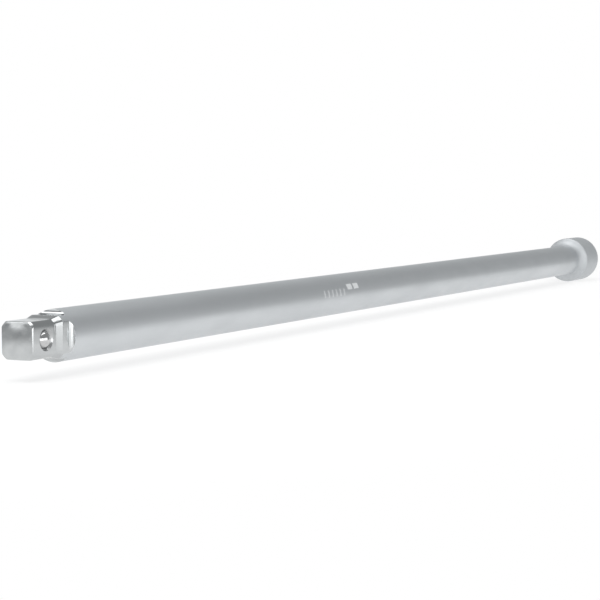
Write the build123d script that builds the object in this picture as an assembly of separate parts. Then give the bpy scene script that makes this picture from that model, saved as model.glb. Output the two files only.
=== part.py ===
from build123d import *
from math import cos, radians, sin, sqrt, tan
import os

# Socket extension bar with a 12.7 mm square drive. The bar lies along X: the origin is the centre
# of the tang's front face, +X runs to the socket head, +Z is up, and the detent ball is in the
# face on the -Y side. All sizes are in millimetres.

# overall
bar_length = 600.0       # tang's front face to the socket's mouth
shank_radius = 9.0
head_radius = 13.6
head_length = 22.0       # full-width part of the head
square = 12.7            # male drive square, across its flats

# tang and collar, in order back from the tang's front face
tang_length = 12.0       # parallel part of the square
collar_length = 3.9      # taper from the square up to the collar's flats
land_length = 2.9        # parallel flats behind the taper
collar_rise = 0.85       # collar flat above tang flat
corner_step = 1.0        # turned corners of the tang below the shank
edge_round = 0.8         # front edges of the tang's flats
nose_length = 1.0        # cone on the tang's turned corners, along the bar
nose_drop = 0.6          # the same cone, towards the axis
taper_blend = 8.0        # radius between square and taper
runout_radius = 1.6      # milling cutter's radius where the flats end

# head and socket
shoulder_slope = 70.0    # steepest angle of the shoulder, in degrees from the axis
shoulder_round = 1.8     # convex edge between shoulder and head
mouth_round = 1.0        # outer edge at the socket's mouth
socket_clearance = 0.15  # female square over male square, across flats
socket_corner = 0.6      # radius in the corners of the female square
socket_spare = 1.1       # room behind a seated tang and collar
mouth_margin = 2.0       # round lead-in outside the female square's flats
pilot_step = 0.1         # pilot drill inside the square's walls
pilot_depth = 2.0        # pilot drill past the square's floor
drill_tip = 59.0         # half of the drill's tip angle, in degrees
seat_travel = 1.5        # a seated tang goes this far past its own square
recess_depth = 0.9       # hollows in the socket's walls that take a ball
recess_clearance = 0.15  # hollow over ball, on the radius

# ball detent
ball_radius = 3.175
ball_station = 7.5       # ball's centre from the tang's front face
bore_clearance = 0.075   # ball hole over ball, on the radius
lip_hold = 0.2           # staked lip inside the ball's radius
lip_height = 0.15
dish_depth = 0.8         # dish that the staking punch leaves round the ball
lip_gap = 0.04           # ball to lip when the ball is out
far_wall = 2.1           # metal left behind the blind hole
wire_radius = 0.35
spring_clearance = 0.25  # spring inside its hole, on the radius
spring_gap = 0.05        # ball to spring
coil_pitch = 1.7         # pitch of the coils, in wire diameters

# worked out from the sizes above
half = square / 2
collar_half = half + collar_rise
collar_end = tang_length + collar_length
land_end = collar_end + land_length
corner_radius = shank_radius - corner_step
head_start = bar_length - head_length
socket_half = half + socket_clearance / 2
socket_depth = collar_end + socket_spare
bore_radius = ball_radius + bore_clearance
lip_radius = ball_radius - lip_hold
lip_foot = dish_depth + lip_height
ball_depth = lip_foot + sqrt((ball_radius + lip_gap) ** 2 - lip_radius ** 2)
hole_floor = square - far_wall
spring_radius = bore_radius - spring_clearance - wire_radius
spring_inner = spring_radius - wire_radius
spring_start = ball_depth + sqrt(ball_radius ** 2 - spring_inner ** 2) + spring_gap

side_face = Plane(origin=(0, -half, 0), x_dir=(1, 0, 0), z_dir=(0, -1, 0))
across = 2 * (head_radius + shank_radius)  # longer than anything that is cut across the bar
quarter_turns = (0, 90, 180, 270)


def rounded(face, x, y, radius):
    """Round the corner of a flat outline that lies nearest to (x, y)."""
    corner = face.vertices().sort_by_distance((x, y, 0))[0]
    return fillet(corner, radius)


def bar_blank():
    """The turned blank: corner diameter, cone, shank, shoulder and head."""
    slope = radians(shoulder_slope)
    lift = 1 - cos(slope)
    foot_radius = (head_radius - shank_radius) / lift - shoulder_round
    foot = head_start - (foot_radius + shoulder_round) * sin(slope)
    lift_mid = 1 - cos(slope / 2)
    foot_mid = (foot + foot_radius * sin(slope / 2), shank_radius + foot_radius * lift_mid)
    steepest = (foot + foot_radius * sin(slope), shank_radius + foot_radius * lift)
    top_mid = (head_start - shoulder_round * sin(slope / 2), head_radius - shoulder_round * lift_mid)
    outline = make_face([
        Polyline((bar_length, 0), (0, 0), (0, corner_radius - nose_drop), (nose_length, corner_radius),
                 (tang_length, corner_radius), (collar_end, shank_radius), (foot, shank_radius)),
        ThreePointArc((foot, shank_radius), foot_mid, steepest),
        ThreePointArc(steepest, top_mid, (head_start, head_radius)),
        Polyline((head_start, head_radius), (bar_length, head_radius), (bar_length, 0)),
    ])
    return revolve(rounded(outline, bar_length, head_radius, mouth_round), Axis.X)


def flat_cutter():
    """What is milled away above the flat that faces +Z, from the front face to the run-out."""
    runout = land_end + runout_radius
    nose = edge_round * (1 - cos(radians(45)))
    outline = make_face([
        Polyline((-1, half - edge_round), (0, half - edge_round)),
        ThreePointArc((0, half - edge_round), (nose, half - nose), (edge_round, half)),
        Polyline((edge_round, half), (tang_length, half), (collar_end, collar_half),
                 (runout, collar_half), (runout, across), (-1, across), (-1, half - edge_round)),
    ])
    outline = rounded(outline, tang_length, half, taper_blend)
    outline = rounded(outline, runout, collar_half, runout_radius)
    return extrude(Plane.XZ * outline, across, both=True)


def socket_cutters():
    """The female square, its pilot hole with the round lead-in, and the ball hollows."""
    mouth = Plane(origin=(bar_length, 0, 0), x_dir=(0, 1, 0), z_dir=(-1, 0, 0))
    square_hole = extrude(mouth * RectangleRounded(2 * socket_half, 2 * socket_half, socket_corner),
                          socket_depth)
    pilot = socket_half - pilot_step
    pilot_floor = bar_length - socket_depth - pilot_depth
    tip = pilot_floor - pilot / tan(radians(drill_tip))
    lead = socket_half + mouth_margin
    turned = revolve(make_face(Polyline(
        (tip, 0), (pilot_floor, pilot), (bar_length - mouth_margin, pilot),
        (bar_length - mouth_margin, socket_half), (bar_length, lead), (bar_length + 1, lead),
        (bar_length + 1, 0), close=True)), Axis.X)
    hollow_radius = ball_radius + recess_clearance
    hollow_x = bar_length - (tang_length + seat_travel - ball_station)
    hollow = Pos(hollow_x, 0, socket_half + recess_depth - hollow_radius) * Sphere(hollow_radius)
    hollows = [Rot(X=turn) * hollow for turn in quarter_turns]
    return [square_hole, turned] + hollows


def ball_hole():
    """Blind hole for the ball and its spring, with the staked lip and the dish round it."""
    outline = make_face(Polyline(
        (0, 1), (lip_radius + dish_depth + 1, 1), (lip_radius, -dish_depth), (lip_radius, -lip_foot),
        (bore_radius, -lip_foot - (bore_radius - lip_radius)), (bore_radius, -hole_floor),
        (0, -hole_floor), close=True))
    drilled = revolve(Plane.XZ * outline, Axis.Z)
    return side_face * Pos(ball_station, 0, 0) * drilled


def extension_bar():
    """The blank, cut one operation at a time: flats, then socket, then ball hole."""
    bar = bar_blank()
    flats = [Rot(X=turn) * flat_cutter() for turn in quarter_turns]
    for cutter in flats + socket_cutters() + [ball_hole()]:
        bar -= cutter
    return bar


def detent_ball():
    return side_face * Pos(ball_station, 0, -ball_depth) * Sphere(ball_radius)


def detent_spring():
    """Open coil spring, from just behind the ball to the floor of its hole."""
    pitch = coil_pitch * 2 * wire_radius
    path = Helix(pitch, hole_floor - spring_start - 2 * wire_radius, spring_radius)
    wire = Plane(origin=path @ 0, z_dir=path % 0) * Circle(wire_radius)
    return side_face * Pos(ball_station, 0, wire_radius - hole_floor) * sweep(wire, path)


nodes = {
    "extension_bar": extension_bar(),
    "detent_ball": detent_ball(),
    "detent_spring": detent_spring(),
}

os.makedirs("parts", exist_ok=True)
for name, shape in nodes.items():
    export_step(shape, f"parts/{name}.step")
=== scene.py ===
import bpy
import math
from mathutils import Matrix, Vector


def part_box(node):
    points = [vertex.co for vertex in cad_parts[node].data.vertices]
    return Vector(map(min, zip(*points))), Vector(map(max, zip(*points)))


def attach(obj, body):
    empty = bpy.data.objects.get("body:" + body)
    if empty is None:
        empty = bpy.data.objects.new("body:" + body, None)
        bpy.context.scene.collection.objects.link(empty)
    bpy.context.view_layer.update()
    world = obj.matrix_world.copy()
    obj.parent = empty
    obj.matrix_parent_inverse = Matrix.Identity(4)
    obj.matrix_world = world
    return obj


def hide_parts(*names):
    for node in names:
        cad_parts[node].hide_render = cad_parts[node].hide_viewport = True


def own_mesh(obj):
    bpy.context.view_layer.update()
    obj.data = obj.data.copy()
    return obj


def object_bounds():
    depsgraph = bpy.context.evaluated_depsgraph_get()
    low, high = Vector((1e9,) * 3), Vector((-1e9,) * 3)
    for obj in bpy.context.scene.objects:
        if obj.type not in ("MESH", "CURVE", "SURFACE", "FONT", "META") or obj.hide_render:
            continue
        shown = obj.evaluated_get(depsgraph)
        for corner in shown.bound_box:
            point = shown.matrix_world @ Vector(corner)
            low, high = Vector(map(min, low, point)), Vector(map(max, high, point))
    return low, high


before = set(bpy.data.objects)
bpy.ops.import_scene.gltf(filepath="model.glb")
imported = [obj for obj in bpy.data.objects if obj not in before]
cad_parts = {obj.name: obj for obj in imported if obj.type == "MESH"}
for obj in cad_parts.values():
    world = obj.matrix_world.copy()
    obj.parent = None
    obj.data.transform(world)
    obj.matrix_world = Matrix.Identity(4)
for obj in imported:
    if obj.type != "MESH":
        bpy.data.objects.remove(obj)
cadLow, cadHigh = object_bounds()
mm = 0.001


def deselectAll():
    if bpy.context.object and bpy.context.object.mode != "OBJECT":
        bpy.ops.object.mode_set(mode="OBJECT")
    bpy.ops.object.select_all(action="DESELECT")


def pickOnly(*objects):
    deselectAll()
    for thing in objects:
        thing.select_set(True)
    bpy.context.view_layer.objects.active = objects[0]


# camera

cameraSetup = {
    "place": (-436.2, -324.4, 51.7),     # mm, in front of the tang and to its right
    "lookAt": (203.2, 0.0, -0.3),        # mm, a third of the way along the bar
    "roll": 0.32,                        # degrees
    "lens": 99.6,
    "sensor": 36.0,
}


def addCamera(setup):
    place = Vector(setup["place"]) * mm
    forward = (Vector(setup["lookAt"]) * mm - place).normalized()
    turn = forward.to_track_quat("-Z", "Y").to_matrix().to_4x4()
    bpy.ops.object.camera_add()
    camera = bpy.context.object
    camera.name = "camera"
    camera.matrix_world = Matrix.Translation(place) @ turn @ Matrix.Rotation(
        math.radians(-setup["roll"]), 4, "Z")
    camera.data.sensor_width = setup["sensor"]
    camera.data.lens = setup["lens"]
    camera.data.clip_start = 0.01
    bpy.context.scene.camera = camera


addCamera(cameraSetup)
print("camera placed")


# studio

studio = {
    "floorRadius": 1.3,                  # m, a light table that fades out all round the bar
    "floorFade": (0.07, 0.22),           # m from the bar's axis
    "floorColour": (0.24, 0.24, 0.24),
    "floorGlow": 0.74,
    "roomTint": (0.97, 0.99, 1.0),
    "backdropWay": (0.8, 0.59, 0.0),     # towards the bright end of the room
    "backdropEdges": (0.3, 0.95),        # how far round from that way it fades
    "backdropGlow": 0.85,
    "roomGlow": 0.38,
    "ceilingGlow": 0.36,
    "fadeHeights": (0.08, 0.5),          # where the backdrop turns to ceiling
}

# soft lights: place and aim in m, width and height in m, power in W
panels = {
    "overheadPanel": {"place": (-0.35, 0.28, 1.2), "aim": (-0.35, 0.28, 0),
                      "size": (1.0, 1.76), "power": 11.5},
    "overheadSide": {"place": (0.475, -0.05, 1.2), "aim": (0.475, -0.05, 0),
                     "size": (0.65, 1.1), "power": 4.6},
    "sideCard": {"place": (-0.08, -1.2, 0.05), "aim": (-0.08, 0, 0.05),
                 "size": (1.65, 0.7), "power": 5.0},
    "frontCard": {"place": (-1.3, 0.45, 0.2), "aim": (0, 0, 0), "size": (1.5, 0.46), "power": 2.0},
    "edgeCard": {"place": (-1.15, -0.95, 0.1), "aim": (0, 0, 0), "size": (1.2, 0.6), "power": 5.2},
}


def addFloor(setup):
    deselectAll()
    middle = (cadLow.x + cadHigh.x) / 2
    bpy.ops.mesh.primitive_circle_add(vertices=96, radius=setup["floorRadius"], fill_type="NGON",
                                      location=(middle, 0, cadLow.z))
    floor = bpy.context.object
    floor.name = "floor"
    paint = bpy.data.materials.new("lightTable")
    paint.use_nodes = True
    nodes, links = paint.node_tree.nodes, paint.node_tree.links
    shader = nodes["Principled BSDF"]
    shader.inputs["Base Color"].default_value = (*setup["floorColour"], 1)
    shader.inputs["Roughness"].default_value = 0.9
    shader.inputs["Emission Color"].default_value = (1, 1, 1, 1)
    shader.inputs["Emission Strength"].default_value = setup["floorGlow"]
    place = nodes.new("ShaderNodeTexCoord")
    nearest = nodes.new("ShaderNodeVectorMath")          # the nearest point of the bar's axis
    nearest.operation = "MINIMUM"
    nearest.inputs[1].default_value = (middle, 0, 0)
    within = nodes.new("ShaderNodeVectorMath")
    within.operation = "MAXIMUM"
    within.inputs[1].default_value = (-middle, 0, 0)
    distance = nodes.new("ShaderNodeVectorMath")
    distance.operation = "DISTANCE"
    fade = nodes.new("ShaderNodeMapRange")
    fade.interpolation_type = "SMOOTHSTEP"
    fade.inputs["From Min"].default_value, fade.inputs["From Max"].default_value = setup["floorFade"]
    gone = nodes.new("ShaderNodeBsdfTransparent")
    mix = nodes.new("ShaderNodeMixShader")
    links.new(place.outputs["Object"], nearest.inputs[0])
    links.new(nearest.outputs["Vector"], within.inputs[0])
    links.new(place.outputs["Object"], distance.inputs[0])
    links.new(within.outputs["Vector"], distance.inputs[1])
    links.new(distance.outputs["Value"], fade.inputs["Value"])
    links.new(fade.outputs["Result"], mix.inputs["Fac"])
    links.new(shader.outputs["BSDF"], mix.inputs[1])
    links.new(gone.outputs["BSDF"], mix.inputs[2])
    links.new(mix.outputs["Shader"], nodes["Material Output"].inputs["Surface"])
    floor.data.materials.append(paint)


def addRoom(setup):
    # white to look at; what the bar reflects is a light backdrop under a darker ceiling
    world = bpy.data.worlds.new("studioRoom")
    world.use_nodes = True
    bpy.context.scene.world = world
    nodes, links = world.node_tree.nodes, world.node_tree.links
    nodes.clear()
    direction = nodes.new("ShaderNodeTexCoord")
    parts = nodes.new("ShaderNodeSeparateXYZ")
    ahead = nodes.new("ShaderNodeVectorMath")
    ahead.operation = "DOT_PRODUCT"
    ahead.inputs[1].default_value = setup["backdropWay"]
    around = nodes.new("ShaderNodeMapRange")
    around.interpolation_type = "SMOOTHSTEP"
    around.inputs["From Min"].default_value, around.inputs["From Max"].default_value = setup["backdropEdges"]
    around.inputs["To Min"].default_value = setup["roomGlow"]
    around.inputs["To Max"].default_value = setup["backdropGlow"]
    height = nodes.new("ShaderNodeMapRange")
    height.interpolation_type = "SMOOTHSTEP"
    height.inputs["From Min"].default_value, height.inputs["From Max"].default_value = setup["fadeHeights"]
    height.inputs["To Max"].default_value = setup["ceilingGlow"]
    room = nodes.new("ShaderNodeBackground")
    room.inputs["Color"].default_value = (*setup["roomTint"], 1)
    backdrop = nodes.new("ShaderNodeBackground")
    backdrop.inputs["Color"].default_value = (1, 1, 1, 1)
    path = nodes.new("ShaderNodeLightPath")
    mix = nodes.new("ShaderNodeMixShader")
    out = nodes.new("ShaderNodeOutputWorld")
    links.new(direction.outputs["Generated"], parts.inputs["Vector"])
    links.new(direction.outputs["Generated"], ahead.inputs[0])
    links.new(ahead.outputs["Value"], around.inputs["Value"])
    links.new(parts.outputs["Z"], height.inputs["Value"])
    links.new(around.outputs["Result"], height.inputs["To Min"])
    links.new(height.outputs["Result"], room.inputs["Strength"])
    links.new(path.outputs["Is Camera Ray"], mix.inputs["Fac"])
    links.new(room.outputs["Background"], mix.inputs[1])
    links.new(backdrop.outputs["Background"], mix.inputs[2])
    links.new(mix.outputs["Shader"], out.inputs["Surface"])


def addPanel(name, setup):
    deselectAll()
    bpy.ops.object.light_add(type="AREA", location=setup["place"])
    panel = bpy.context.object
    panel.name = name
    aim = Vector(setup["aim"]) - Vector(setup["place"])
    panel.rotation_euler = aim.to_track_quat("-Z", "Y").to_euler()
    panel.data.shape = "RECTANGLE"
    panel.data.size, panel.data.size_y = setup["size"]
    panel.data.energy = setup["power"]
    panel.visible_camera = False


def addStudio(setup):
    addFloor(setup)
    addRoom(setup)
    for name, panel in panels.items():
        addPanel(name, panel)
    bpy.context.scene.view_settings.view_transform = "Standard"


addStudio(studio)
print("studio lit")


# bar

bar = {                                  # mm
    "quarterPoints": 32,                 # columns from the middle of one flat to the middle of the next
    "flatColumns": 5,
    "square": 12.7,
    "tangLength": 12.0,
    "collarLength": 3.9,
    "landLength": 2.9,
    "collarRise": 0.85,
    "cornerRadius": 8.0,
    "shankRadius": 9.0,
    "noseLength": 1.0,                   # cone on the tang's corners
    "noseDrop": 0.6,
    "edgeRound": 0.8,                    # front edges of the four flats
    "taperBlend": 0.9,                   # half the length of the blend before the taper
    "runoutRadius": 1.6,
    "wideFlat": 8.8,                     # where the run-out ends against the shank
    "frontCrown": 0.2,
    "flatCrown": 0.035,
    "edgeBreak": (0.42, 0.14),           # edges between flats and corners, on tang and collar
    "edgeShare": 0.35,                   # the most of half a flat that such an edge may take
    "creaseBreak": 0.14,                 # polished edges across the bar
    "roundFrom": 21.0,                   # past the flats, where the rings are plain circles
    "shankStart": 22.5,                  # first ring of the shank
    "evenStart": 25.0,                   # first of its evenly spaced rings
    "evenRings": 12,
    "headLength": 22.0,
    "shoulderSlope": 70.0,               # degrees
    "shoulderRound": 1.8,
    "mouthRound": 1.0,
    "mouthMargin": 2.0,
    "socketSquare": 12.85,
    "socketCorner": 0.6,
    "socketDepth": 17.0,
    "pilotStep": 0.1,
    "pilotDepth": 2.0,
    "drillTip": 59.0,                    # degrees
    "hollowRadius": 3.325,
    "hollowDepth": 0.9,
    "hollowFromMouth": 6.0,
}

ballHole = {                             # mm, depths from the -Y face of the tang
    "fromFace": 7.5,
    "points": 64,
    "lipRadius": 2.975,
    "dishDepth": 0.8,
    "lipFoot": 0.95,
    "boreRadius": 3.25,
    "floor": 10.6,
}


def arcPoints(centre, radius, fromAngle, toAngle, steps):
    angles = [math.radians(fromAngle + (toAngle - fromAngle) * k / steps) for k in range(steps + 1)]
    return [(centre[0] + radius * math.cos(a), centre[1] + radius * math.sin(a)) for a in angles]


def softCorner(before, corner, after, reach, steps):
    # a small curve in place of a corner of an outline, reaching the same way along both sides
    corner = Vector(corner)
    start = corner + (Vector(before) - corner).normalized() * reach
    end = corner + (Vector(after) - corner).normalized() * reach
    curve = []
    for k in range(steps + 1):
        t = k / steps
        curve.append(tuple((1 - t) ** 2 * start + 2 * t * (1 - t) * corner + t ** 2 * end))
    return curve


def valueAt(outline, x):
    for (x0, y0), (x1, y1) in zip(outline, outline[1:]):
        if x0 <= x <= x1:
            return y0 + (y1 - y0) * (x - x0) / max(x1 - x0, 1e-9)
    return outline[-1][1]


def tangStations(sizes):
    # (x, turned radius, distance of the flats from the axis, scale) from the middle of the front face
    half, edge = sizes["square"] / 2, sizes["edgeRound"]
    taperStart = sizes["tangLength"]
    taperEnd = taperStart + sizes["collarLength"]
    landEnd = taperEnd + sizes["landLength"]
    collarHalf = half + sizes["collarRise"]
    corner, shank, runout = sizes["cornerRadius"], sizes["shankRadius"], sizes["runoutRadius"]
    crease = sizes["creaseBreak"]
    flats = arcPoints((edge, half - edge), edge, 180, 90, 10)
    flats += softCorner((0, half), (taperStart, half), (taperEnd, collarHalf), sizes["taperBlend"], 6)
    flats += softCorner((taperStart, half), (taperEnd, collarHalf), (landEnd, collarHalf), crease, 3)
    flats += arcPoints((landEnd, collarHalf + runout), runout, -90, 0, 14)
    flats.append((landEnd + runout + 0.01, shank))
    nose = sizes["noseLength"]
    turnedRadii = [(0, corner - sizes["noseDrop"])]
    turnedRadii += softCorner(turnedRadii[0], (nose, corner), (taperStart, corner), crease, 3)
    turnedRadii += softCorner((nose, corner), (taperStart, corner), (taperEnd, shank), crease, 3)
    turnedRadii += softCorner((taperStart, corner), (taperEnd, shank), (landEnd, shank), crease, 3)
    turnedRadii.append((landEnd + runout + 0.01, shank))
    crown = sizes["frontCrown"]
    outer = (valueAt(turnedRadii, crown), valueAt(flats, crown))
    scales = [0.02] + [k / 16 for k in range(1, 16)]
    stations = [(crown * scale ** 2, *outer, scale) for scale in scales]
    places = sorted({round(x, 4) for x, _ in flats + turnedRadii if x > crown + 0.005} | {crown})
    stations += [(x, valueAt(turnedRadii, x), valueAt(flats, x), 1) for x in places]
    return stations


def roundStations(sizes, length, headRadius):
    # the same from the start of the shank to the tip of the pilot hole, where the bar is round
    slope = math.radians(sizes["shoulderSlope"])
    lift = 1 - math.cos(slope)
    shank, topRound = sizes["shankRadius"], sizes["shoulderRound"]
    footRadius = (headRadius - shank) / lift - topRound
    headStart = length - sizes["headLength"]
    foot = headStart - (footRadius + topRound) * math.sin(slope)
    edge = sizes["mouthRound"]
    socketHalf = sizes["socketSquare"] / 2
    pilot = socketHalf - sizes["pilotStep"]
    margin = sizes["mouthMargin"]
    pilotFloor = length - sizes["socketDepth"] - sizes["pilotDepth"]
    tip = pilotFloor - pilot / math.tan(math.radians(sizes["drillTip"]))
    start, rings = sizes["evenStart"], sizes["evenRings"]
    outline = [(sizes["shankStart"], shank)]
    outline += [(start + (foot - start) * k / rings, shank) for k in range(rings)]
    outline += arcPoints((foot, shank + footRadius), footRadius, -90, sizes["shoulderSlope"] - 90, 16)
    outline += arcPoints((headStart, headRadius - topRound), topRound, 90 + sizes["shoulderSlope"], 90, 9)[1:]
    outline += arcPoints((length - edge, headRadius - edge), edge, 90, 0, 8)
    leadEnd = length - margin - sizes["pilotStep"]
    outline += [(length, socketHalf + margin), (leadEnd, pilot), (pilotFloor, pilot), (tip + 0.1, 0.15)]
    return [(x, radius, radius, 1) for x, radius in outline]


def ringPoint(sizes, station, slot):
    # where one column crosses one ring: flat, polished edge, turned corner, edge, next flat
    x, radius, flat, scale = station
    count, columns = sizes["quarterPoints"], sizes["flatColumns"]
    taperStart = sizes["tangLength"]
    tangEdge, collarEdge = sizes["edgeBreak"]
    taperEnd = taperStart + sizes["collarLength"]
    edge = valueAt([(0, tangEdge), (taperStart, tangEdge), (taperEnd, collarEdge)], x)
    quarter, step = divmod(slot, count)
    mirrored = step > count / 2
    if mirrored:
        step = count - step
    if x > sizes["roundFrom"]:
        angle, reach = math.pi / 2 * step / count, radius
        across, out = reach * math.sin(angle), reach * math.cos(angle)
    else:
        opening = math.acos(min(flat, sizes["wideFlat"]) / radius)
        width = radius * math.sin(opening)
        edge = min(edge, sizes["edgeShare"] * width)
        flatEnd = Vector((min(flat, math.sqrt(radius ** 2 - (width - edge) ** 2)), width - edge))
        arcStart = opening + edge / radius
        if step <= columns:
            across = flatEnd.y * step / columns
            crown = sizes["flatCrown"] * (across / max(width, 0.1)) ** 2 if x < taperStart else 0
            out = min(flat, math.sqrt(radius ** 2 - across ** 2)) - crown
        elif step == columns + 1:
            corner = Vector((min(flat, radius * math.cos(opening)), width))
            arcPoint = Vector((radius * math.cos(arcStart), radius * math.sin(arcStart)))
            out, across = flatEnd * 0.25 + corner * 0.5 + arcPoint * 0.25
        else:
            share = (step - columns - 2) / (count / 2 - columns - 2)
            angle = arcStart + (math.pi / 4 - arcStart) * share
            out, across = radius * math.cos(angle), radius * math.sin(angle)
    if mirrored:
        out, across = across, out
    if scale < 1:
        # the front face is domed in the middle and follows its outline at the rim
        dome = sizes["frontCrown"] * scale ** 2 * (across ** 2 + out ** 2) / flat ** 2
        x = (1 - scale ** 4) * min(dome, sizes["frontCrown"]) + scale ** 4 * x
    turn = Matrix.Rotation(quarter * math.pi / 2, 4, "X")
    return (turn @ Vector((x, -across * scale, out * scale))) * mm


def ringed(name, sizes, stations):
    # a disc extruded once for each ring, then every ring is given its own size and outline
    points = 4 * sizes["quarterPoints"]
    deselectAll()
    bpy.ops.mesh.primitive_circle_add(vertices=points, radius=mm, fill_type="NGON",
                                      location=(0, 0, 0), rotation=(0, math.pi / 2, 0))
    piece = bpy.context.object
    piece.name = name
    bpy.ops.object.transform_apply(location=True, rotation=True, scale=True)
    bpy.ops.object.mode_set(mode="EDIT")
    bpy.ops.mesh.select_mode(type="FACE")
    bpy.ops.mesh.select_all(action="SELECT")
    for _ in stations[1:]:
        bpy.ops.mesh.extrude_region_move(TRANSFORM_OT_translate={"value": (mm, 0, 0)})
    bpy.ops.object.mode_set(mode="OBJECT")
    for vert in piece.data.vertices:
        ring = round(vert.co.x / mm)
        slot = round(math.atan2(-vert.co.y, vert.co.z) / (2 * math.pi) * points) % points
        vert.co = ringPoint(sizes, stations[ring], slot)
    bpy.ops.object.mode_set(mode="EDIT")
    bpy.ops.mesh.select_all(action="SELECT")
    bpy.ops.mesh.remove_doubles(threshold=1e-6)
    bpy.ops.mesh.normals_make_consistent(inside=False)
    bpy.ops.object.mode_set(mode="OBJECT")
    return piece


def turned(name, outline, points):
    # a disc extruded and resized from point to point of a round outline, along the X axis
    deselectAll()
    place, radius = outline[0]
    bpy.ops.mesh.primitive_circle_add(vertices=points, radius=radius * mm, fill_type="NGON",
                                      location=(place * mm, 0, 0), rotation=(0, math.pi / 2, 0))
    piece = bpy.context.object
    piece.name = name
    bpy.ops.object.transform_apply(location=True, rotation=True, scale=True)
    bpy.ops.object.mode_set(mode="EDIT")
    bpy.ops.mesh.select_mode(type="FACE")
    bpy.ops.mesh.select_all(action="SELECT")
    for (x0, r0), (x1, r1) in zip(outline, outline[1:]):
        bpy.ops.mesh.extrude_region_move(TRANSFORM_OT_translate={"value": ((x1 - x0) * mm, 0, 0)})
        bpy.ops.transform.resize(value=(1, r1 / r0, r1 / r0), center_override=(x1 * mm, 0, 0))
    bpy.ops.mesh.select_all(action="SELECT")
    bpy.ops.mesh.normals_make_consistent(inside=False)
    bpy.ops.object.mode_set(mode="OBJECT")
    return piece


def pickEdges(piece, wanted):
    # wanted sees both ends of an edge, in mm
    bpy.ops.object.mode_set(mode="EDIT")
    bpy.ops.mesh.select_mode(type="EDGE")
    bpy.ops.mesh.select_all(action="DESELECT")
    bpy.ops.object.mode_set(mode="OBJECT")
    verts = piece.data.vertices
    for edge in piece.data.edges:
        a, b = (verts[k].co / mm for k in edge.vertices)
        edge.select = bool(wanted(a, b))
    bpy.ops.object.mode_set(mode="EDIT")


def socketCutter(sizes, length):
    half = sizes["socketSquare"] / 2
    low, high = length - sizes["socketDepth"], length + 3
    deselectAll()
    bpy.ops.mesh.primitive_cube_add(size=1, location=((low + high) / 2 * mm, 0, 0))
    piece = bpy.context.object
    piece.name = "socketCutter"
    piece.scale = ((high - low) * mm, 2 * half * mm, 2 * half * mm)
    bpy.ops.object.transform_apply(location=True, rotation=True, scale=True)
    pickEdges(piece, lambda a, b: abs(a.x - b.x) > 1)
    bpy.ops.mesh.bevel(offset=sizes["socketCorner"] * mm, segments=5, affect="EDGES")
    bpy.ops.object.mode_set(mode="OBJECT")
    return piece


def hollowCutters(sizes, length):
    reach = sizes["socketSquare"] / 2 + sizes["hollowDepth"] - sizes["hollowRadius"]
    cutters = []
    for y, z in ((0, 1), (1, 0), (0, -1), (-1, 0)):
        deselectAll()
        place = ((length - sizes["hollowFromMouth"]) * mm, y * reach * mm, z * reach * mm)
        bpy.ops.mesh.primitive_uv_sphere_add(segments=40, ring_count=20, location=place,
                                             radius=sizes["hollowRadius"] * mm)
        bpy.ops.object.transform_apply(location=True, rotation=True, scale=True)
        cutters.append(bpy.context.object)
    return cutters


def ballHoleCutter(sizes, half):
    lip = sizes["lipRadius"]
    outline = [(-1, lip + sizes["dishDepth"] + 1), (sizes["dishDepth"], lip), (sizes["lipFoot"], lip),
               (sizes["lipFoot"] + sizes["boreRadius"] - lip, sizes["boreRadius"]),
               (sizes["floor"], sizes["boreRadius"])]
    piece = turned("ballHoleCutter", outline, sizes["points"])
    piece.matrix_world = (Matrix.Translation((sizes["fromFace"] * mm, -half * mm, 0))
                          @ Matrix.Rotation(math.pi / 2, 4, "Z")
                          @ Matrix.Rotation(math.pi / sizes["points"], 4, "X"))
    pickOnly(piece)
    bpy.ops.object.transform_apply(location=True, rotation=True, scale=True)
    return piece


def cut(piece, cutters):
    for cutter in cutters:
        pickOnly(piece)
        bpy.ops.object.modifier_add(type="BOOLEAN")
        modifier = piece.modifiers[-1]
        modifier.operation = "DIFFERENCE"
        modifier.solver = "EXACT"
        modifier.object = cutter
        bpy.ops.object.modifier_apply(modifier=modifier.name)
        bpy.data.objects.remove(cutter)


def softenShading(piece, angle):
    # smooth, with sharp edges kept and large faces left flat
    pickOnly(piece)
    bpy.ops.object.shade_smooth_by_angle(angle=math.radians(angle))
    bpy.ops.object.modifier_add(type="WEIGHTED_NORMAL")
    piece.modifiers[-1].keep_sharp = True
    bpy.ops.object.modifier_apply(modifier=piece.modifiers[-1].name)


def makeBar(sizes, hole):
    length, headRadius = cadHigh.x / mm, cadHigh.z / mm
    stations = tangStations(sizes) + roundStations(sizes, length, headRadius)
    piece = ringed("barBody", sizes, stations)
    cut(piece, [ballHoleCutter(hole, sizes["square"] / 2), socketCutter(sizes, length)])
    cut(piece, hollowCutters(sizes, length))
    softenShading(piece, 32)
    return piece


barBody = makeBar(bar, ballHole)
print("bar modelled,", len(barBody.data.polygons), "faces")


# spring behind the ball

spring = {
    "wire": 0.35,                        # mm, radius
    "wirePoints": 14,
    "pitch": 1.19,
    "stepsPerTurn": 28,
    "ballTravel": 1.1,
}


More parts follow.
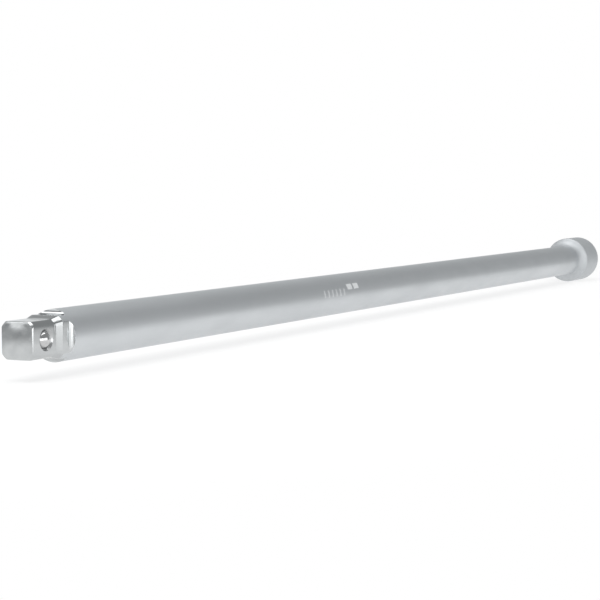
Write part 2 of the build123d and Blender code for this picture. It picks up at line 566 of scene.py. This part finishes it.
def makeSpring(sizes, low, high):
    # one loop of wire, screwed along Y inside the box it has to fill
    wire = sizes["wire"] * mm
    middle = (low + high) / 2
    rise = high.y - low.y - 2 * wire
    turns = rise / (sizes["pitch"] * mm)
    deselectAll()
    bpy.ops.mesh.primitive_circle_add(vertices=sizes["wirePoints"], radius=wire, fill_type="NOTHING",
                                      location=((high.x - low.x) / 2 - wire, 0, 0))
    piece = bpy.context.object
    piece.name = "ballSpring"
    bpy.ops.object.transform_apply(location=True, rotation=True, scale=True)
    bpy.ops.object.modifier_add(type="SCREW")
    screw = piece.modifiers[-1]
    screw.axis = "Y"
    screw.angle = turns * 2 * math.pi
    screw.screw_offset = rise
    screw.steps = screw.render_steps = round(turns * sizes["stepsPerTurn"])
    bpy.ops.object.modifier_apply(modifier=screw.name)
    piece.location = (middle.x, low.y + wire, middle.z)
    bpy.ops.object.transform_apply(location=True, rotation=True, scale=True)
    bpy.ops.object.mode_set(mode="EDIT")
    bpy.ops.mesh.select_all(action="SELECT")
    bpy.ops.mesh.fill_holes(sides=sizes["wirePoints"])
    bpy.ops.mesh.select_all(action="SELECT")
    bpy.ops.mesh.normals_make_consistent(inside=False)
    bpy.ops.object.mode_set(mode="OBJECT")
    bpy.ops.object.shade_smooth_by_angle(angle=math.radians(40))
    return piece


# ball

ball = {
    "cuts": 22,                          # across each side of the block that becomes the ball
    "block": 0.7,                        # the block's side over the ball's diameter
}


def makeBall(low, high):
    # a finely cut block cast to a sphere, so that no pole shows
    diameter = high.y - low.y
    deselectAll()
    bpy.ops.mesh.primitive_cube_add(size=ball["block"] * diameter, location=(0, 0, 0))
    piece = bpy.context.object
    piece.name = "detentBall"
    bpy.ops.object.mode_set(mode="EDIT")
    bpy.ops.mesh.subdivide(number_cuts=ball["cuts"])
    bpy.ops.object.mode_set(mode="OBJECT")
    bpy.ops.object.modifier_add(type="CAST")
    sphere = piece.modifiers[-1]
    sphere.factor = 1
    sphere.use_radius_as_size = False
    sphere.radius = 0
    sphere.size = diameter / 2
    bpy.ops.object.modifier_apply(modifier=sphere.name)
    piece.location = (ballHole["fromFace"] * mm, (low.y + high.y) / 2, 0)
    bpy.ops.object.transform_apply(location=True, rotation=True, scale=True)
    bpy.ops.object.shade_smooth()
    return piece


ballLow, ballHigh = (Vector(corner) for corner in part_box("detent_ball"))
detentBall = makeBall(ballLow, ballHigh)
print("ball modelled,", len(detentBall.data.polygons), "faces")

springLow, springHigh = (Vector(corner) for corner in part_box("detent_spring"))
ballSpring = makeSpring(spring, springLow, springHigh)
print("spring modelled,", len(ballSpring.data.polygons), "faces")


# finishes

finishes = {
    # colours clean and dull, roughness low and high, ground lines per metre along and across
    "polishedChrome": {"clean": (0.56, 0.575, 0.58), "dull": (0.5, 0.515, 0.52),
                       "roughness": (0.08, 0.17), "lines": (220, 4200), "lineDepth": 0.0015,
                       "clouds": 330, "scratches": 0.5, "wear": 0.5},
    "satinChrome": {"clean": (0.645, 0.667, 0.683), "dull": (0.585, 0.606, 0.622),
                    "roughness": (0.41, 0.49), "lines": (5200, 110), "lineDepth": 0.004,
                    "clouds": 95, "scratches": 0.35, "wear": 0.25},
    "headChrome": {"clean": (0.62, 0.64, 0.655), "dull": (0.56, 0.58, 0.595),
                   "roughness": (0.6, 0.68), "lines": (4200, 110), "lineDepth": 0.004,
                   "clouds": 120, "scratches": 0.35, "wear": 0.4},
    "boreChrome": {"clean": (0.56, 0.57, 0.575), "dull": (0.38, 0.385, 0.39),
                   "roughness": (0.26, 0.42), "lines": (3800, 200), "lineDepth": 0.0015,
                   "clouds": 240, "scratches": 0.2, "wear": 0.6},
    "ballSteel": {"clean": (0.66, 0.665, 0.67), "dull": (0.5, 0.5, 0.5),
                  "roughness": (0.04, 0.1), "lines": (900, 900), "lineDepth": 0.0001,
                  "clouds": 600, "scratches": 0.4, "wear": 0},
    "springSteel": {"clean": (0.36, 0.35, 0.34), "dull": (0.2, 0.18, 0.17),
                    "roughness": (0.2, 0.38), "lines": (4200, 4200), "lineDepth": 0.0006,
                    "clouds": 700, "scratches": 0.2, "wear": 0.2},
}

# rows of plain etched dashes on the shank, in mm, degrees up from the -Y side, and depth of the etching
etchedRows = [
    {"from": 209.5, "dashes": 6, "pitch": 3.9, "dash": 1.2, "up": 12, "height": 3.2, "depth": 0.55},
    {"from": 233.5, "dashes": 2, "pitch": 6.6, "dash": 5.0, "up": 25, "height": 2.6, "depth": 0.9},
]

# along and across scale, then where the noise begins and ends a hairline
scratchLines = {
    "lengthwise": ((45, 2600), (0.72, 0.78)),
    "crosswise": ((3100, 160), (0.75, 0.8)),
}

wornEdges = {
    "reach": 0.35,                       # mm
    "samples": 4,
    "match": (0.995, 0.93),              # rounded normal against the true one, unworn and worn
    "patchScale": 420,
    "patches": (0.4, 0.62),
}

# how much each effect adds to a metal
effects = {
    "cloudShade": 0.7,
    "lineShade": 0.3,
    "wornShade": 0.78,
    "wornRoughness": 0.15,
    "scratchRoughness": 0.12,
    "scratchDepth": 0.8,
    "etchedColour": (0.86, 0.875, 0.88),
    "etchedRoughness": 0.3,
    "etchedDepth": 8,
}


def newGroup(name, numbersIn, outputs):
    group = bpy.data.node_groups.new(name, "ShaderNodeTree")
    for label, value in numbersIn.items():
        socket = group.interface.new_socket(name=label, in_out="INPUT", socket_type="NodeSocketFloat")
        socket.default_value = value
    for label in outputs:
        group.interface.new_socket(name=label, in_out="OUTPUT", socket_type="NodeSocketFloat")
    return group, group.nodes.new("NodeGroupInput"), group.nodes.new("NodeGroupOutput")


def mathNode(tree, operation, first, second=None):
    # first and second are sockets or plain numbers
    node = tree.nodes.new("ShaderNodeMath")
    node.operation = operation
    for socket, value in zip(node.inputs, (first, second)):
        if isinstance(value, bpy.types.NodeSocket):
            tree.links.new(value, socket)
        elif value is not None:
            socket.default_value = value
    return node.outputs["Value"]


def remap(tree, value, low, high, toLow=0.0, toHigh=1.0):
    node = tree.nodes.new("ShaderNodeMapRange")
    tree.links.new(value, node.inputs["Value"])
    for label, number in (("From Min", low), ("From Max", high), ("To Min", toLow), ("To Max", toHigh)):
        if isinstance(number, bpy.types.NodeSocket):
            tree.links.new(number, node.inputs[label])
        else:
            node.inputs[label].default_value = number
    return node.outputs["Result"]


def stretchedNoise(tree, along, across, detail):
    # noise on Object coordinates, with its own scale along the bar and across it
    place = tree.nodes.new("ShaderNodeTexCoord")
    scale = tree.nodes.new("ShaderNodeCombineXYZ")
    for label, number in (("X", along), ("Y", across), ("Z", across)):
        if isinstance(number, bpy.types.NodeSocket):
            tree.links.new(number, scale.inputs[label])
        else:
            scale.inputs[label].default_value = number
    stretch = tree.nodes.new("ShaderNodeVectorMath")
    stretch.operation = "MULTIPLY"
    noise = tree.nodes.new("ShaderNodeTexNoise")
    noise.inputs["Scale"].default_value = 1
    noise.inputs["Detail"].default_value = detail
    tree.links.new(place.outputs["Object"], stretch.inputs[0])
    tree.links.new(scale.outputs["Vector"], stretch.inputs[1])
    tree.links.new(stretch.outputs["Vector"], noise.inputs["Vector"])
    return noise.outputs["Fac"]


def groundLinesGroup():
    group, given, out = newGroup("groundLines", {"Along": 5000, "Across": 100}, ["Height"])
    noise = stretchedNoise(group, given.outputs["Along"], given.outputs["Across"], 3)
    group.links.new(remap(group, noise, 0.25, 0.75), out.inputs["Height"])
    return group


def platingCloudsGroup():
    group, given, out = newGroup("platingClouds", {"Scale": 100}, ["Cloud"])
    broad = stretchedNoise(group, mathNode(group, "MULTIPLY", given.outputs["Scale"], 0.35),
                           given.outputs["Scale"], 4)
    group.links.new(remap(group, broad, 0.32, 0.7), out.inputs["Cloud"])
    return group


def fineScratchesGroup():
    # sparse hairlines in two directions
    group, given, out = newGroup("fineScratches", {"Amount": 0.5}, ["Scratch"])
    hairlines = []
    for scale, limits in scratchLines.values():
        hairlines.append(remap(group, stretchedNoise(group, *scale, 1), *limits))
    both = mathNode(group, "MAXIMUM", *hairlines)
    group.links.new(mathNode(group, "MULTIPLY", both, given.outputs["Amount"]), out.inputs["Scratch"])
    return group


def edgeWearGroup():
    # edges, found from how far a rounded normal leaves the true one, rubbed unevenly
    group, given, out = newGroup("edgeWear", {"Amount": 0.5}, ["Wear"])
    rounded = group.nodes.new("ShaderNodeBevel")
    rounded.samples = wornEdges["samples"]
    rounded.inputs["Radius"].default_value = wornEdges["reach"] * mm
    surface = group.nodes.new("ShaderNodeNewGeometry")
    match = group.nodes.new("ShaderNodeVectorMath")
    match.operation = "DOT_PRODUCT"
    group.links.new(rounded.outputs["Normal"], match.inputs[0])
    group.links.new(surface.outputs["Normal"], match.inputs[1])
    edge = remap(group, match.outputs["Value"], *wornEdges["match"])
    scale = wornEdges["patchScale"]
    patches = remap(group, stretchedNoise(group, scale, scale, 3), *wornEdges["patches"])
    rubbed = mathNode(group, "MULTIPLY", edge, patches)
    group.links.new(mathNode(group, "MULTIPLY", rubbed, given.outputs["Amount"]), out.inputs["Wear"])
    return group


def etchedDashesGroup(rows):
    group, _, out = newGroup("etchedDashes", {}, ["Etched"])
    place = group.nodes.new("ShaderNodeTexCoord")
    parts = group.nodes.new("ShaderNodeSeparateXYZ")
    group.links.new(place.outputs["Object"], parts.inputs["Vector"])
    towards = mathNode(group, "MULTIPLY", parts.outputs["Y"], -1)
    around = mathNode(group, "ARCTAN2", parts.outputs["Z"], towards)
    etched = 0.0
    for row in rows:
        past = mathNode(group, "SUBTRACT", parts.outputs["X"], row["from"] * mm)
        count = mathNode(group, "DIVIDE", past, row["pitch"] * mm)
        inRow = mathNode(group, "COMPARE", count, row["dashes"] / 2)
        inRow.node.inputs[2].default_value = row["dashes"] / 2
        dashShare = row["dash"] / row["pitch"]
        inDash = mathNode(group, "LESS_THAN", mathNode(group, "FRACT", count), dashShare)
        inBand = mathNode(group, "COMPARE", around, math.radians(row["up"]))
        inBand.node.inputs[2].default_value = row["height"] / 2 / bar["shankRadius"]
        dashes = mathNode(group, "MULTIPLY", mathNode(group, "MULTIPLY", inRow, inDash), inBand)
        etched = mathNode(group, "MAXIMUM", mathNode(group, "MULTIPLY", dashes, row["depth"]), etched)
    group.links.new(etched, out.inputs["Etched"])
    return group


groundLines, platingClouds = groundLinesGroup(), platingCloudsGroup()
fineScratches, edgeWear = fineScratchesGroup(), edgeWearGroup()
etchedDashes = etchedDashesGroup(etchedRows)


def placeGroup(tree, group, **numbers):
    node = tree.nodes.new("ShaderNodeGroup")
    node.node_tree = group
    for label, number in numbers.items():
        node.inputs[label].default_value = number
    return node.outputs[0]


def mixColour(tree, share, first, second):
    node = tree.nodes.new("ShaderNodeMix")
    node.data_type = "RGBA"
    tree.links.new(share, node.inputs["Factor"])
    for socket, value in ((node.inputs[6], first), (node.inputs[7], second)):
        if isinstance(value, bpy.types.NodeSocket):
            tree.links.new(value, socket)
        else:
            socket.default_value = (*value, 1)
    return node.outputs[2]


def metalMaterial(name, marked=False):
    look = finishes[name]
    material = bpy.data.materials.new(name)
    material.use_nodes = True
    tree = material.node_tree
    shader = tree.nodes["Principled BSDF"]
    shader.inputs["Metallic"].default_value = 1
    lines = placeGroup(tree, groundLines, Along=look["lines"][0], Across=look["lines"][1])
    cloud = placeGroup(tree, platingClouds, Scale=look["clouds"])
    scratch = placeGroup(tree, fineScratches, Amount=look["scratches"])
    wear = placeGroup(tree, edgeWear, Amount=look["wear"])
    cloudShade = mathNode(tree, "MULTIPLY", cloud, effects["cloudShade"])
    lineShade = mathNode(tree, "MULTIPLY", lines, effects["lineShade"])
    colour = mixColour(tree, mathNode(tree, "ADD", cloudShade, lineShade), look["clean"], look["dull"])
    colour = mixColour(tree, wear, colour, [effects["wornShade"] * part for part in look["clean"]])
    roughness = remap(tree, cloud, 0, 1, *look["roughness"])
    worn = mathNode(tree, "MULTIPLY", wear, effects["wornRoughness"])
    roughness = mathNode(tree, "ADD", roughness, worn)
    scratched = mathNode(tree, "MULTIPLY", scratch, effects["scratchRoughness"])
    roughness = mathNode(tree, "ADD", roughness, scratched)
    height = mathNode(tree, "SUBTRACT", lines, mathNode(tree, "MULTIPLY", scratch, effects["scratchDepth"]))
    if marked:
        etched = placeGroup(tree, etchedDashes)
        colour = mixColour(tree, etched, colour, effects["etchedColour"])
        etchedRough = mathNode(tree, "MULTIPLY", etched, effects["etchedRoughness"])
        roughness = mathNode(tree, "ADD", roughness, etchedRough)
        etchedHeight = mathNode(tree, "MULTIPLY", etched, effects["etchedDepth"])
        height = mathNode(tree, "SUBTRACT", height, etchedHeight)
    bump = tree.nodes.new("ShaderNodeBump")
    bump.inputs["Strength"].default_value = 1
    bump.inputs["Distance"].default_value = look["lineDepth"] * mm
    tree.links.new(height, bump.inputs["Height"])
    tree.links.new(bump.outputs["Normal"], shader.inputs["Normal"])
    tree.links.new(colour, shader.inputs["Base Color"])
    tree.links.new(roughness, shader.inputs["Roughness"])
    return material


def giveFinish(piece, material, wanted):
    # wanted sees the middle of a face, in mm
    pickOnly(piece)
    piece.data.materials.append(material)
    bpy.ops.object.mode_set(mode="EDIT")
    bpy.ops.mesh.select_mode(type="FACE")
    bpy.ops.mesh.select_all(action="DESELECT")
    bpy.ops.object.mode_set(mode="OBJECT")
    for face in piece.data.polygons:
        face.select = bool(wanted(face.center / mm))
    bpy.ops.object.mode_set(mode="EDIT")
    piece.active_material_index = len(piece.data.materials) - 1
    bpy.ops.object.material_slot_assign()
    bpy.ops.object.mode_set(mode="OBJECT")


def fromAxis(point):
    return math.hypot(point.y, point.z)


# where one finish of the bar meets the next, in mm
zones = {
    "polishedEnd": 22.0,                 # past the run-out of the flats
    "flatSkin": 0.03,                    # below the shank's surface
    "headBack": 6.0,                     # shoulder, behind the full width of the head
    "shoulderSkin": 0.05,                # above the shank's surface
    "pilotBack": 12.0,                   # behind the floor of the socket
    "socketReach": 8.9,
    "mouthSkin": 0.05,
    "dishReach": 3.8,                    # round the ball's centre
    "holeDepths": (-6.31, 4.5),          # from the rim of the dish to the floor of the hole
}
length = cadHigh.x / mm
taperEnd = bar["tangLength"] + bar["collarLength"]
headBack = length - bar["headLength"] - zones["headBack"]
socketStart = length - bar["socketDepth"] - zones["pilotBack"]


def isPolished(at):
    onFlat = fromAxis(at) < bar["shankRadius"] - zones["flatSkin"]
    return at.x < taperEnd or (at.x < zones["polishedEnd"] and onFlat)


def isHead(at):
    return at.x > headBack and fromAxis(at) > bar["shankRadius"] + zones["shoulderSkin"]


def isBore(at):
    rim, floor = zones["holeDepths"]
    inLength = socketStart < at.x < length - zones["mouthSkin"]
    inSocket = inLength and fromAxis(at) < zones["socketReach"]
    nearBall = math.hypot(at.x - ballHole["fromFace"], at.z) < zones["dishReach"]
    return inSocket or (nearBall and rim < at.y < floor)


barBody.data.materials.clear()
barBody.data.materials.append(metalMaterial("satinChrome", marked=True))
giveFinish(barBody, metalMaterial("polishedChrome"), isPolished)
giveFinish(barBody, metalMaterial("headChrome"), isHead)
giveFinish(barBody, metalMaterial("boreChrome"), isBore)
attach(barBody, "bar")
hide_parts("extension_bar")
ballSpring.data.materials.clear()
ballSpring.data.materials.append(metalMaterial("springSteel"))
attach(ballSpring, "bar")
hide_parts("detent_spring")
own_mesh(ballSpring)
detentBall.data.materials.clear()
detentBall.data.materials.append(metalMaterial("ballSteel"))
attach(detentBall, "ball")
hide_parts("detent_ball")
print("finishes made")
